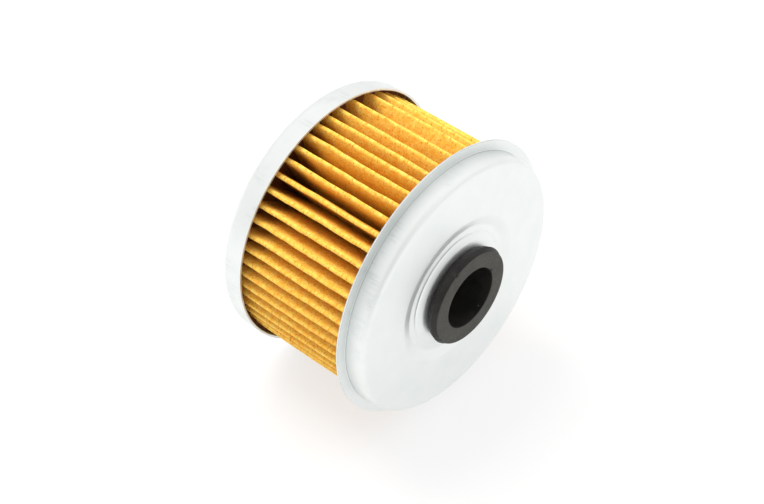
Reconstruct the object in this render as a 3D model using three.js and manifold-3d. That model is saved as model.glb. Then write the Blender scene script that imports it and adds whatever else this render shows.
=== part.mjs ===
// An oil filter element for a small engine. Two pressed steel end caps hold a pleated paper pack round
// a perforated steel tube. A rubber grommet in the outlet cap pushes on to the engine's spigot, and a
// spring-loaded bypass valve rides on a stem riveted to the closed cap.
//
// Millimetres, +Z up. The element lies on its side: its axis is +X, and the grommet looks along +X.
// A place along the axis is a station, counted from the rear face of the outlet cap's flange.
// An angle round the axis counts from the top (+Z) towards -Y.
import * as THREE from "three";
import { mergeVertices } from "three/addons/utils/BufferGeometryUtils.js";
import Module from "manifold-3d";

// Driving dimensions.
const FLANGE_RADIUS = 27.0;
const GROMMET_FACE = 7.3;
const CLOSED_FACE = -29.0;
const MIDDLE = (GROMMET_FACE + CLOSED_FACE) / 2; // station of the origin
const SHEET = 0.4; // thickness of the pressed steel
const CLEARANCE = 0.3; // between two pieces that touch on the real element

// End caps.
const CAP_FACETS = 64;
const OUTLET_FACE = 4.35;
const BOSS = { top: 5.45, foot: 11.25, footStation: 4.1 }; // raised cone that holds the grommet
const GROOVE = { floor: 3.8, radius: 13.2, edge: 14.4 }; // shallow ring round the cone's foot
const CLOSED_FLOOR = CLOSED_FACE + 1.4;
const CLOSED_RIM = -24.3;
const RECESS = { inner: 11.7, outer: 14.3 }; // radii of the sloping wall in the closed cap
const OUTLET_WALL = { top: 24.9, foot: 25.2, corner: 1.0 };
const CLOSED_WALL = { rim: 25.6, corner: 1.5 };
const FLANGE_INNER = 25.7;

// Grommet.
const BORE_RADIUS = 5.85;
const GROMMET = { face: 9.15, belly: 9.6, base: 9.3, neck: 7.3, lip: 8.9, rear: 0.9 };

// Pleated paper pack.
const PLEATS = 52;
const CREST_RADIUS = 24.4;
const ROOT_RADIUS = 12.2;
const PAPER = 0.45; // thickness of the paper
const CREST_WIDTH = 1.0;
const VALLEY_WIDTH = 0.3;
const FIRST_CREST = -38.7; // degrees
const PITCH = { mean: 6.7, ripple: 0.62, waves: 4, start: 20.5 }; // degrees
const SPREAD = { at: -13.9, width: 8.9, extra: 9 }; // where the pack is stretched open, in degrees
const SEAM = { at: 205, width: 8, extra: 3.2, top: 23.4, foot: 19.0 };

// Adhesive that bonds the pack into the caps.
const ADHESIVE = { inner: 14.8, outer: 24.1, depth: 1.9 };

// Centre tube.
const TUBE = { outer: 11.5, inner: 11.0, front: 3.3, facets: 48 };
const TUBE_HOLE = { radius: 1.5, facets: 10, rows: 5, columns: 10, pitch: 5.2 };

// Bypass valve.
const STEM_RADIUS = 1.6;
const STEM_END = -10.9;
const PORT = { radius: 1.5, pitchRadius: 6.2, count: 6, facets: 16 };
const RIVET_HEAD = { radius: 3.2, height: 0.7 };
const VALVE_SEAL = { inner: 4.2, outer: 8.6, thickness: 0.8 };
const VALVE_PLATE = { bore: 1.85, outer: 8.8, thickness: 0.5, rim: 1.2 };
const SPRING = { radius: 5.0, wire: 0.9, turns: 4.5, length: 12, stepsPerTurn: 16, sides: 8 };
const RETAINER = { outer: 6.4, thickness: 0.8 };
const VALVE_FACETS = 32;

const wasm = await Module();
wasm.setup();

const radians = THREE.MathUtils.degToRad;

// ---- Shaping ----

/** A solid turned about the filter's axis from the [station, radius] corners of its section. */
function turned(corners, facets) {
  const section = corners.map(([station, radius]) => new THREE.Vector2(radius, station - MIDDLE));
  if (THREE.ShapeUtils.area(section) < 0) section.reverse();
  if (section[0].x > 0) section.push(section[0].clone());
  const lathe = new THREE.LatheGeometry(section, facets, Math.PI / facets, 2 * Math.PI);
  return lathe.rotateZ(-Math.PI / 2);
}

/** Corners on a quarter of a circle in the section, from one [station, radius] direction to another. */
function rounded(station, radius, corner, fromDegrees, toDegrees, steps = 3) {
  return Array.from({ length: steps + 1 }, (_, i) => {
    const angle = radians(fromDegrees + ((toDegrees - fromDegrees) * i) / steps);
    return [station + corner * Math.sin(angle), radius + corner * Math.cos(angle)];
  });
}

/** The section of a pressed sheet: its outer line, and the same line moved in by the sheet's thickness. */
function pressed(line, thickness) {
  const points = line.map(([station, radius]) => new THREE.Vector2(station, radius));
  const normals = points.slice(1).map((end, i) => {
    const along = end.clone().sub(points[i]).normalize();
    return new THREE.Vector2(-along.y, along.x).multiplyScalar(thickness);
  });
  const moved = points.map((point, i) => {
    const before = normals[Math.max(i - 1, 0)];
    const after = normals[Math.min(i, normals.length - 1)];
    const mean = before.clone().add(after);
    return point.clone().add(mean.multiplyScalar((2 * thickness ** 2) / mean.lengthSq()));
  });
  return [...points, ...moved.reverse()].map((point) => [point.x, point.y]);
}

/** A point of the cross-section at an angle and radius, moved aside along the circle, as a shape sees it. */
function around(degrees, radius, aside = 0) {
  const angle = radians(degrees);
  const across = -radius * Math.sin(angle) - aside * Math.cos(angle);
  const up = radius * Math.cos(angle) - aside * Math.sin(angle);
  return new THREE.Vector2(-up, across);
}

/** A shape of the cross-section drawn out along the axis between two stations. */
function drawnOut(shape, fromStation, toStation) {
  const settings = { depth: toStation - fromStation, bevelEnabled: false, curveSegments: 1 };
  const solid = new THREE.ExtrudeGeometry(shape, settings).rotateY(Math.PI / 2);
  return solid.translate(fromStation - MIDDLE, 0, 0);
}

/** A geometry as a manifold solid, to be cut or joined. */
function asSolid(geometry) {
  const bare = geometry.clone().deleteAttribute("normal").deleteAttribute("uv");
  const merged = mergeVertices(bare, 1e-4);
  const vertProperties = merged.attributes.position.array;
  const triVerts = new Uint32Array(merged.index.array);
  return new wasm.Manifold(new wasm.Mesh({ numProp: 3, vertProperties, triVerts }));
}

/** A manifold solid as a geometry. */
function asGeometry(solid) {
  const mesh = solid.getMesh();
  const geometry = new THREE.BufferGeometry();
  geometry.setAttribute("position", new THREE.BufferAttribute(mesh.vertProperties, 3));
  geometry.setIndex(new THREE.BufferAttribute(mesh.triVerts, 1));
  geometry.computeVertexNormals();
  return geometry;
}

/** A geometry with every one of the cutters taken out of it. */
function drilled(geometry, cutters) {
  const solid = cutters.reduce((rest, cutter) => rest.subtract(asSolid(cutter)), asSolid(geometry));
  return asGeometry(solid);
}

// ---- Pressed steel caps ----

function outletCap() {
  const corner = OUTLET_WALL.corner;
  const line = [
    [BOSS.top, GROMMET.neck + CLEARANCE],
    [BOSS.footStation, BOSS.foot],
    [GROOVE.floor, GROOVE.radius],
    [OUTLET_FACE, GROOVE.edge],
    ...rounded(OUTLET_FACE - corner, OUTLET_WALL.top - corner, corner, 90, 0),
    [1.0, OUTLET_WALL.foot],
    [SHEET, FLANGE_INNER],
    [SHEET, FLANGE_RADIUS],
  ];
  return turned(pressed(line, SHEET), CAP_FACETS);
}

function closedCap() {
  const corner = CLOSED_WALL.corner;
  const line = [
    [CLOSED_FLOOR, STEM_RADIUS + CLEARANCE],
    [CLOSED_FLOOR, RECESS.inner],
    [CLOSED_FACE, RECESS.outer],
    ...rounded(CLOSED_FACE + corner, CLOSED_WALL.rim - corner, corner, -90, 0, 4),
    [CLOSED_RIM, CLOSED_WALL.rim],
  ];
  const ports = Array.from({ length: PORT.count }, (_, i) => {
    const port = new THREE.CylinderGeometry(PORT.radius, PORT.radius, 4 * SHEET, PORT.facets);
    const place = around((360 / PORT.count) * i, PORT.pitchRadius);
    return port.rotateZ(Math.PI / 2).translate(CLOSED_FLOOR - MIDDLE, place.y, -place.x);
  });
  return drilled(turned(pressed(line, -SHEET), CAP_FACETS), ports);
}

// ---- Rubber grommet ----

function grommet() {
  const fall = (BOSS.top - BOSS.footStation) / (BOSS.foot - GROMMET.neck - CLEARANCE); // of the cone, per mm
  const sheetRear = BOSS.top - (SHEET + CLEARANCE) * Math.hypot(1, fall);
  const sheetFront = BOSS.top + CLEARANCE;
  const section = [
    [GROMMET_FACE, BORE_RADIUS],
    [GROMMET_FACE, GROMMET.face],
    [GROMMET_FACE - 0.2, GROMMET.face + 0.2],
    [(GROMMET_FACE + sheetFront) / 2, GROMMET.belly],
    [sheetFront, GROMMET.base],
    [sheetFront, GROMMET.neck],
    [sheetRear, GROMMET.neck],
    [sheetRear - (GROMMET.lip - GROMMET.neck) * fall, GROMMET.lip],
    [GROMMET.rear + 0.7, GROMMET.lip - 0.4],
    [GROMMET.rear, GROMMET.lip - 1.2],
    [GROMMET.rear, BORE_RADIUS],
  ];
  return turned(section, 48);
}

// ---- Paper pack ----

const PACK_FRONT = OUTLET_FACE - SHEET - CLEARANCE - ADHESIVE.depth - CLEARANCE;
const PACK_REAR = CLOSED_FACE + SHEET + CLEARANCE + ADHESIVE.depth + CLEARANCE;

/** How far an angle is from another the short way round, in degrees. */
function apart(degrees, from) {
  return ((((degrees - from + 180) % 360) + 360) % 360) - 180;
}

/** The pitch of the pleats at an angle: a slow ripple, one stretch pulled open, and room for the seam. */
function pitchAt(degrees) {
  const bump = ({ at, width, extra }) => extra * Math.exp(-((apart(degrees, at) / width) ** 2));
  const ripple = PITCH.ripple * Math.sin(radians(PITCH.waves * (degrees - PITCH.start)));
  return PITCH.mean + ripple + bump(SPREAD) + bump(SEAM);
}

/** The angle of every crest, stepped off by the pitch and scaled a little to close the circle. */
function crestAngles() {
  const steps = [0];
  for (let i = 0; i < PLEATS; i++) {
    const angle = FIRST_CREST + steps[i];
    steps.push(steps[i] + pitchAt(angle + pitchAt(angle) / 2));
  }
  return steps.slice(0, PLEATS).map((step) => FIRST_CREST + (step * 360) / steps[PLEATS]);
}

const CRESTS = crestAngles();
const SEAM_CREST = CRESTS.reduce((best, crest) =>
  Math.abs(apart(crest, SEAM.at)) < Math.abs(apart(best, SEAM.at)) ? crest : best,
);

function pleatedPaper() {
  const outside = [];
  const inside = [];
  CRESTS.forEach((crest, i) => {
    const next = i + 1 < PLEATS ? CRESTS[i + 1] : CRESTS[0] + 360;
    const valley = (crest + next) / 2;
    const half = CREST_WIDTH / 2;
    const atSeam = crest === SEAM_CREST;
    const top = atSeam ? SEAM.top : CREST_RADIUS;
    const foot = atSeam ? [SEAM.foot] : [];
    outside.push(...foot.map((radius) => around(crest, radius, -half)));
    outside.push(around(crest, top, -half), around(crest, top, half));
    outside.push(...foot.map((radius) => around(crest, radius, half)));
    outside.push(around(valley, ROOT_RADIUS + PAPER, -VALLEY_WIDTH / 2));
    outside.push(around(valley, ROOT_RADIUS + PAPER, VALLEY_WIDTH / 2));
    const ceiling = (atSeam ? SEAM.foot : CREST_RADIUS) - PAPER;
    inside.push(around(crest, ceiling, PAPER - half), around(crest, ceiling, half - PAPER));
    inside.push(around(valley, ROOT_RADIUS, -VALLEY_WIDTH / 2 - PAPER));
    inside.push(around(valley, ROOT_RADIUS, VALLEY_WIDTH / 2 + PAPER));
  });
  const shape = new THREE.Shape(outside);
  shape.holes.push(new THREE.Path(inside));
  return drawnOut(shape, PACK_REAR, PACK_FRONT);
}

/** The folded steel strip that grips the paper's two ends together. */
function seamClip() {
  const inner = CREST_WIDTH / 2 + CLEARANCE;
  const outer = inner + SHEET;
  const top = SEAM.top + CLEARANCE;
  const corners = [
    [SEAM.foot + CLEARANCE, -outer],
    [top + SHEET, -outer],
    [top + SHEET, outer],
    [SEAM.foot + CLEARANCE, outer],
    [SEAM.foot + CLEARANCE, inner],
    [top, inner],
    [top, -inner],
    [SEAM.foot + CLEARANCE, -inner],
  ];
  const outline = corners.map(([radius, aside]) => around(SEAM_CREST, radius, aside));
  return drawnOut(new THREE.Shape(outline), PACK_REAR, PACK_FRONT);
}

/** A ring of set adhesive, which fills a cap between a station on its inner face and the pack. */
function adhesive(fromStation, toStation) {
  const section = [
    [fromStation, ADHESIVE.inner],
    [fromStation, ADHESIVE.outer],
    [toStation, ADHESIVE.outer],
    [toStation, ADHESIVE.inner],
  ];
  return turned(section, CAP_FACETS);
}

// ---- Centre tube ----

function centreTube() {
  const { outer, inner, front } = TUBE;
  const rear = CLOSED_FLOOR + SHEET + CLEARANCE;
  const section = [
    [rear, inner],
    [rear, outer],
    [front, outer],
    [front, inner],
  ];
  const drills = [];
  for (let row = 0; row < TUBE_HOLE.rows; row++) {
    const station = (front + rear) / 2 + (row - (TUBE_HOLE.rows - 1) / 2) * TUBE_HOLE.pitch;
    // Each drill goes right through the tube and makes two opposite holes.
    for (let column = 0; column < TUBE_HOLE.columns / 2; column++) {
      const angle = (360 / TUBE_HOLE.columns) * (column + (row % 2) / 2);
      const { radius, facets } = TUBE_HOLE;
      const drill = new THREE.CylinderGeometry(radius, radius, 3 * TUBE.outer, facets);
      drills.push(drill.rotateX(radians(angle)).translate(station - MIDDLE, 0, 0));
    }
  }
  return drilled(turned(section, TUBE.facets), drills);
}

// ---- Bypass valve ----

const SEAL_REAR = CLOSED_FLOOR + SHEET + CLEARANCE;
const PLATE_REAR = SEAL_REAR + VALVE_SEAL.thickness + CLEARANCE;
const SPRING_REAR = PLATE_REAR + VALVE_PLATE.thickness + CLEARANCE;
const RETAINER_REAR = SPRING_REAR + SPRING.length + CLEARANCE;

/** The stem, from its rivet head outside the cap to its dome end inside the tube. */
function valveStem() {
  const headFront = CLOSED_FLOOR - CLEARANCE;
  const section = [
    [headFront - RIVET_HEAD.height, 0],
    [headFront - RIVET_HEAD.height, RIVET_HEAD.radius - 1.2],
    [headFront - 0.4, RIVET_HEAD.radius - 0.2],
    [headFront, RIVET_HEAD.radius],
    [headFront, STEM_RADIUS],
    [STEM_END - 0.6, STEM_RADIUS],
    [STEM_END, STEM_RADIUS - 0.6],
    [STEM_END, 0],
  ];
  return turned(section, VALVE_FACETS);
}

/** The valve's rubber facing, which closes the ports. */
function valveSeal() {
  const front = SEAL_REAR + VALVE_SEAL.thickness;
  const section = [
    [SEAL_REAR, VALVE_SEAL.inner],
    [SEAL_REAR, VALVE_SEAL.outer],
    [front, VALVE_SEAL.outer],
    [front, VALVE_SEAL.inner],
  ];
  return turned(section, VALVE_FACETS);
}

/** The sliding plate: a disc with its rim turned up round the spring. */
function valvePlate() {
  const line = [
    [PLATE_REAR, VALVE_PLATE.bore],
    [PLATE_REAR, VALVE_PLATE.outer],
    [PLATE_REAR + VALVE_PLATE.rim, VALVE_PLATE.outer],
  ];
  return turned(pressed(line, -VALVE_PLATE.thickness), VALVE_FACETS);
}

class SpringPath extends THREE.Curve {
  /** The wire's centreline, closed down flat for half a turn at each end. */
  getPoint(along, target = new THREE.Vector3()) {
    const turns = along * SPRING.turns;
    const reach = SPRING.turns - 1;
    const climb = THREE.MathUtils.clamp((turns - 0.5) / reach, 0, 1);
    const free = SPRING.length - SPRING.wire - 2 * SPRING.wire * 0.6;
    const lift = SPRING.wire * 0.6 * (Math.min(turns, 0.5) + Math.max(turns - reach - 0.5, 0)) * 2;
    const angle = 2 * Math.PI * turns;
    const station = SPRING_REAR + SPRING.wire / 2 + lift + free * climb;
    const across = SPRING.radius * Math.sin(angle);
    return target.set(station - MIDDLE, across, SPRING.radius * Math.cos(angle));
  }
}

function valveSpring() {
  const corners = Array.from({ length: SPRING.sides }, (_, i) => {
    const angle = (2 * Math.PI * i) / SPRING.sides;
    const radius = SPRING.wire / 2;
    return new THREE.Vector2(radius * Math.cos(angle), radius * Math.sin(angle));
  });
  const steps = Math.round(SPRING.turns * SPRING.stepsPerTurn);
  const settings = { steps, extrudePath: new SpringPath(), bevelEnabled: false };
  return new THREE.ExtrudeGeometry(new THREE.Shape(corners), settings);
}

/** The push-on washer that holds the spring on the stem. */
function springRetainer() {
  const front = RETAINER_REAR + RETAINER.thickness;
  const section = [
    [RETAINER_REAR, STEM_RADIUS + CLEARANCE],
    [RETAINER_REAR, RETAINER.outer],
    [front, RETAINER.outer],
    [front + 0.4, STEM_RADIUS + CLEARANCE + 0.5],
    [front + 0.4, STEM_RADIUS + CLEARANCE],
  ];
  return turned(section, VALVE_FACETS);
}

// ---- Assembly ----

/** A finish as the settings of its material. */
function finish(color, roughness, metalness) {
  return { color, roughness, metalness };
}

const FINISHES = {
  platedSteel: finish(0xe6eaea, 0.3, 0.9),
  springSteel: finish(0x9a9c9c, 0.35, 1.0),
  rubber: finish(0x3a3937, 0.7, 0.0),
  filterPaper: finish(0xe09a2c, 0.9, 0.0),
  adhesive: finish(0x6b3a1c, 0.5, 0.0),
};

const PIECES = [
  ["outlet_end_cap", outletCap(), FINISHES.platedSteel],
  ["closed_end_cap", closedCap(), FINISHES.platedSteel],
  ["outlet_grommet", grommet(), FINISHES.rubber],
  ["pleated_paper", pleatedPaper(), FINISHES.filterPaper],
  ["paper_seam_clip", seamClip(), FINISHES.platedSteel],
  ["outlet_adhesive", adhesive(PACK_FRONT + CLEARANCE, OUTLET_FACE - SHEET - CLEARANCE), FINISHES.adhesive],
  ["closed_adhesive", adhesive(CLOSED_FACE + SHEET + CLEARANCE, PACK_REAR - CLEARANCE), FINISHES.adhesive],
  ["centre_tube", centreTube(), FINISHES.platedSteel],
  ["valve_stem", valveStem(), FINISHES.springSteel],
  ["valve_seal", valveSeal(), FINISHES.rubber],
  ["valve_plate", valvePlate(), FINISHES.platedSteel],
  ["valve_spring", valveSpring(), FINISHES.springSteel],
  ["spring_retainer", springRetainer(), FINISHES.springSteel],
];

const filter = new THREE.Group();
for (const [name, geometry, settings] of PIECES) {
  const piece = new THREE.Mesh(geometry, new THREE.MeshStandardMaterial(settings));
  piece.name = name;
  filter.add(piece);
}

export default filter;
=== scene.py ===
"""The looks of an oil filter element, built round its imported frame.

The element lies on its side, its axis along +X and its grommet looking along +X. Sizes are in
millimetres. A place along the axis is a station, counted from the rear face of the outlet cap's
flange, and an angle round the axis counts from the top (+Z) towards -Y.
"""

import logging
import math
from dataclasses import dataclass, field
from enum import Enum
from typing import Sequence

import bpy
import numpy as np
from mathutils import Matrix, Vector, noise


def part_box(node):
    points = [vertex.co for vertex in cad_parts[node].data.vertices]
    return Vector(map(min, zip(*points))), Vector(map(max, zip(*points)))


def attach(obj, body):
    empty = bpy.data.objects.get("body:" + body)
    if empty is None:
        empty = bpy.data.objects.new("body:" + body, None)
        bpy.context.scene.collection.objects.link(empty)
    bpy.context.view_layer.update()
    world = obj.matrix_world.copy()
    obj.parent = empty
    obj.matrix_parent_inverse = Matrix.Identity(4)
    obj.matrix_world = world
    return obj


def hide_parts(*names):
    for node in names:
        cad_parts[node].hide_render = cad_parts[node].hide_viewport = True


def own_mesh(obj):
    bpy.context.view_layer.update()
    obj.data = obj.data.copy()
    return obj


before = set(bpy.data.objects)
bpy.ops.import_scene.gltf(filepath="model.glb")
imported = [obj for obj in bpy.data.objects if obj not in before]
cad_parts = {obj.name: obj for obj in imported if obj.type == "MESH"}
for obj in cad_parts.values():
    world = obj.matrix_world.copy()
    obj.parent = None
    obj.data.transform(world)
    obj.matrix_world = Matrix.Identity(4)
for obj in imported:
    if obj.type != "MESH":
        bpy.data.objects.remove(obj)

LOG = logging.getLogger("oil_filter")
MM = 0.001
FLANGE_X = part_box("outlet_end_cap")[0].x  # the station 0.0
CAP_FACETS = 64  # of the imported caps, whose box is a little inside their true circle
FLANGE_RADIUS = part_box("outlet_end_cap")[1].z / math.cos(math.pi / CAP_FACETS) / MM
SHEET = 0.4  # thickness of the pressed steel
TURN = 2 * math.pi
AXIS = np.array([1.0, 0.0, 0.0])
TOUCHING = 1e-6  # in metres or millimetres, points this close are one


class Body(Enum):
    """The frame's bodies that the pieces ride on."""

    FILTER = "filter_body"
    VALVE = "bypass_valve"


class Slot(Enum):
    """The record's material slots."""

    PLATED = "plated_steel"
    BARE = "bare_steel"
    RUBBER = "rubber"
    PAPER = "filter_paper"
    ADHESIVE = "adhesive"


# ---- Shader nodes ----

# A colour Mix node's sockets: its share, its two colours and what comes out.
SHARE, FIRST, SECOND, MIXED = 0, 6, 7, 2


def linear(hex_code: str) -> tuple[float, float, float, float]:
    """Turns an sRGB hex colour to linear.

    Args:
        hex_code: Six hex digits.

    Returns:
        Linear red, green, blue and an alpha of 1.
    """
    channels = (int(hex_code[i : i + 2], 16) / 255 for i in (0, 2, 4))
    return (*(c / 12.92 if c <= 0.04045 else ((c + 0.055) / 1.055) ** 2.4 for c in channels), 1.0)


def add(
    tree: bpy.types.NodeTree, kind: str, inputs: dict | None = None, **settings: object
) -> bpy.types.Node:
    """Adds a shader node with its settings and links.

    Args:
        tree: The material's or world's node tree.
        kind: The node's class name, without ShaderNode.
        inputs: Socket name or number to a value, or to the output socket that feeds it.
        settings: The node's own properties.

    Returns:
        The node.
    """
    node = tree.nodes.new("ShaderNode" + kind)
    for name, value in settings.items():
        setattr(node, name, value)
    for socket, value in (inputs or {}).items():
        if isinstance(value, bpy.types.NodeSocket):
            tree.links.new(value, node.inputs[socket])
        else:
            node.inputs[socket].default_value = value
    return node


def per_metre(*sizes: float) -> tuple[float, ...]:
    """The scale that makes a pattern repeat every so many millimetres along X, Y and Z."""
    return tuple(1 / (size * MM) for size in sizes)


@dataclass(frozen=True)
class Ramp:
    """How values from low to high turn to values from start to end."""

    low: float
    high: float
    start: float = 0.0
    end: float = 1.0

    def of(self, value: bpy.types.NodeSocket) -> dict:
        """The inputs of a MapRange node that turns a value this way.

        Args:
            value: The socket that gives the value.

        Returns:
            Socket name to value.
        """
        ends = {"From Min": self.low, "From Max": self.high, "To Min": self.start, "To Max": self.end}
        return {"Value": value} | ends


@dataclass(frozen=True)
class Relief:
    """How strongly a pattern stands up from a surface, and its height in millimetres."""

    strength: float
    height: float

    def of(self, pattern: bpy.types.NodeSocket) -> dict:
        """The inputs of a Bump node that raises a pattern this way."""
        return {"Strength": self.strength, "Distance": self.height * MM, "Height": pattern}


@dataclass(frozen=True)
class Finish:
    """A finish, with what every one of them shares."""

    name: str

    def start(self) -> tuple[bpy.types.Material, bpy.types.NodeTree]:
        """Makes the material and clears its node tree.

        Returns:
            The material and its node tree.
        """
        material = bpy.data.materials.new(self.name)
        material.use_nodes = True
        material.node_tree.nodes.clear()
        return material, material.node_tree

    def close(self, tree: bpy.types.NodeTree, inputs: dict) -> None:
        """Adds the shader, with its inputs, and the material's output."""
        shader = add(tree, "BsdfPrincipled", inputs)
        add(tree, "OutputMaterial", {"Surface": shader.outputs[0]})


@dataclass(frozen=True)
class ZincPlate(Finish):
    """Mild steel sheet, deep drawn and then barrel plated in bright zinc with a clear blue passivation.

    It gives the eye a pale satin metal, a little cool, with fine draw marks down its walls, a faint
    cloudiness where the plating is thicker, a few dark pinholes, and a painted shade line, with a
    softer painted haze reaching further up, in the fold between the outlet cap's wall and its flange.
    """

    name: str = "zinc_plated_steel"
    bright: str = "EEF1F0"
    cloudy: str = "E7ECEB"
    streak: str = "A6B0B1"
    pinhole: str = "5A5E5C"
    # The colour of the painted shade in the fold at the foot of the outlet cap's wall.
    thin: str = "8B9698"
    draw_spacing: float = 0.35
    draw_length: float = 9.0
    cloud_size: float = 5.0
    grain_size: float = 0.45  # real plating is ten times finer, and drawn this coarse to show
    pinhole_spacing: float = 2.6
    drawn_wall: Ramp = Ramp(0.75, 0.2)  # from faces across the axis to walls along it
    cloudiness: Ramp = Ramp(0.35, 0.7, 0.0, 0.55)
    mark_patches: Ramp = Ramp(0.5, 0.7, 0.0, 0.35)
    mark_edges: Ramp = Ramp(0.42, 0.7)
    pinhole_radius: Ramp = Ramp(0.86, 1.0, 0.0, 0.075)  # in spacings, and most are nothing
    # The painted fold shade, as a dark line and a softer haze.
    fold_line: tuple[float, float] = (0.45, 0.9)  # how far up the wall it reaches, and how strong it is
    fold_haze: tuple[float, float] = (2.6, 0.22)
    fold_start: float = 0.1  # below the flange's front
    roughness: Ramp = Ramp(0.3, 0.7, 0.43, 0.48)
    mark_roughness: float = 0.06
    grain_height: float = 0.3
    mark_height: float = 0.35
    relief: Relief = Relief(0.2, 0.02)

    def material(self) -> bpy.types.Material:
        """Builds the shader's nodes.

        Returns:
            The material.
        """
        material, tree = self.start()
        place = add(tree, "TexCoord").outputs["Object"]
        facing = add(tree, "SeparateXYZ", {0: add(tree, "NewGeometry").outputs["Normal"]})
        flat = add(tree, "Math", {0: facing.outputs["X"]}, operation="ABSOLUTE")
        wall = add(tree, "MapRange", self.drawn_wall.of(flat.outputs[0]))
        along = per_metre(self.draw_length, self.draw_spacing, self.draw_spacing)
        drawn = add(tree, "Mapping", {"Vector": place, "Scale": along})
        marks = add(tree, "TexNoise", {"Vector": drawn.outputs[0], "Scale": 1.0, "Detail": 3.0})
        grain_scale = per_metre(self.grain_size)[0]
        grain = add(tree, "TexNoise", {"Vector": place, "Scale": grain_scale, "Detail": 4.0})
        cloud_scale = per_metre(self.cloud_size)[0]
        cloud = add(tree, "TexNoise", {"Vector": place, "Scale": cloud_scale, "Detail": 3.0})
        marked = add(tree, "Math", {0: marks.outputs[0], 1: wall.outputs[0]}, operation="MULTIPLY")

        tone = add(tree, "MapRange", self.cloudiness.of(cloud.outputs[0]))
        tones = {SHARE: tone.outputs[0], FIRST: linear(self.bright), SECOND: linear(self.cloudy)}
        clouded = add(tree, "Mix", tones, data_type="RGBA")
        patchy = add(tree, "MapRange", self.mark_patches.of(cloud.outputs[0]))
        streaked = add(tree, "MapRange", self.mark_edges.of(marked.outputs[0]))
        worn = add(tree, "Math", {0: patchy.outputs[0], 1: streaked.outputs[0]}, operation="MULTIPLY")
        wear = {SHARE: worn.outputs[0], FIRST: clouded.outputs[MIXED], SECOND: linear(self.streak)}
        plated = add(tree, "Mix", wear, data_type="RGBA")
        holes = add(tree, "TexVoronoi", {"Vector": place, "Scale": per_metre(self.pinhole_spacing)[0]})
        rare = add(tree, "SeparateColor", {0: holes.outputs["Color"]})
        size = add(tree, "MapRange", self.pinhole_radius.of(rare.outputs[0]))
        depths = {0: holes.outputs["Distance"], 1: size.outputs[0]}
        inside = add(tree, "Math", depths, operation="LESS_THAN")
        pits = {SHARE: inside.outputs[0], FIRST: plated.outputs[MIXED], SECOND: linear(self.pinhole)}
        holed = add(tree, "Mix", pits, data_type="RGBA")
        # Painted shade in the fold at the foot of the outlet cap's wall.
        painted_fold_shade = self.fold(tree, place, wall.outputs[0])
        folds = {SHARE: painted_fold_shade, FIRST: holed.outputs[MIXED], SECOND: linear(self.thin)}
        fold_shaded = add(tree, "Mix", folds, data_type="RGBA")

        rough = add(tree, "MapRange", self.roughness.of(grain.outputs[0]))
        rougher = {0: marked.outputs[0], 1: self.mark_roughness, 2: rough.outputs[0]}
        rough_marked = add(tree, "Math", rougher, operation="MULTIPLY_ADD")
        fine = add(tree, "Math", {0: grain.outputs[0], 1: self.grain_height}, operation="MULTIPLY")
        heights = {0: marked.outputs[0], 1: self.mark_height, 2: fine.outputs[0]}
        height = add(tree, "Math", heights, operation="MULTIPLY_ADD")
        bump = add(tree, "Bump", self.relief.of(height.outputs[0]))
        dressed = {"Base Color": fold_shaded.outputs[MIXED], "Roughness": rough_marked.outputs[0]}
        self.close(tree, dressed | {"Normal": bump.outputs[0], "Metallic": 1.0})
        return material

    def fold(
        self, tree: bpy.types.NodeTree, place: bpy.types.NodeSocket, wall: bpy.types.NodeSocket
    ) -> bpy.types.NodeSocket:
        """Paints shade into the fold at the foot of the outlet cap's wall.

        Args:
            tree: The material's node tree.
            place: Where a point is.
            wall: How much of a wall the surface is.

        Returns:
            How strongly the painted shade darkens the plating there.
        """
        station = add(tree, "SeparateXYZ", {0: place}).outputs["X"]
        front = FLANGE_X + SHEET * MM
        bands = []
        for reach, strength in (self.fold_line, self.fold_haze):
            band = Ramp(front, front + reach * MM, strength, 0.0)
            bands.append(add(tree, "MapRange", band.of(station)).outputs[0])
        deeper = add(tree, "Math", {0: bands[0], 1: bands[1]}, operation="MAXIMUM")
        past = add(tree, "Math", {0: station, 1: front - self.fold_start * MM}, operation="GREATER_THAN")
        on_wall = add(tree, "Math", {0: past.outputs[0], 1: wall}, operation="MULTIPLY")
        painted_fold_shade = add(tree, "Math", {0: deeper.outputs[0], 1: on_wall.outputs[0]}, operation="MULTIPLY")
        return painted_fold_shade.outputs[0]


@dataclass(frozen=True)
class BareSteel(Finish):
    """Drawn spring wire and turned steel, oiled and left bare.

    It gives the eye a darker, warmer metal than the plating, with fine lines and a slight oily sheen.
    """

    name: str = "bare_spring_steel"
    light: str = "A9A9A6"
    dark: str = "7C7B77"
    line_spacing: float = 0.3
    line_width: float = 3.0
    roughness: Ramp = Ramp(0.3, 0.7, 0.24, 0.42)
    relief: Relief = Relief(0.3, 0.02)

    def material(self) -> bpy.types.Material:
        """Builds the shader's nodes.

        Returns:
            The material.
        """
        material, tree = self.start()
        place = add(tree, "TexCoord").outputs["Object"]
        stretch = per_metre(self.line_spacing, self.line_width, self.line_width)
        lines = add(tree, "Mapping", {"Vector": place, "Scale": stretch})
        scratch = add(tree, "TexNoise", {"Vector": lines.outputs[0], "Scale": 1.0, "Detail": 4.0})
        tones = {SHARE: scratch.outputs[0], FIRST: linear(self.light), SECOND: linear(self.dark)}
        tint = add(tree, "Mix", tones, data_type="RGBA")
        rough = add(tree, "MapRange", self.roughness.of(scratch.outputs[0]))
        bump = add(tree, "Bump", self.relief.of(scratch.outputs[0]))
        dressed = {"Base Color": tint.outputs[MIXED], "Roughness": rough.outputs[0]}
        self.close(tree, dressed | {"Normal": bump.outputs[0], "Metallic": 1.0})
        return material


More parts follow.
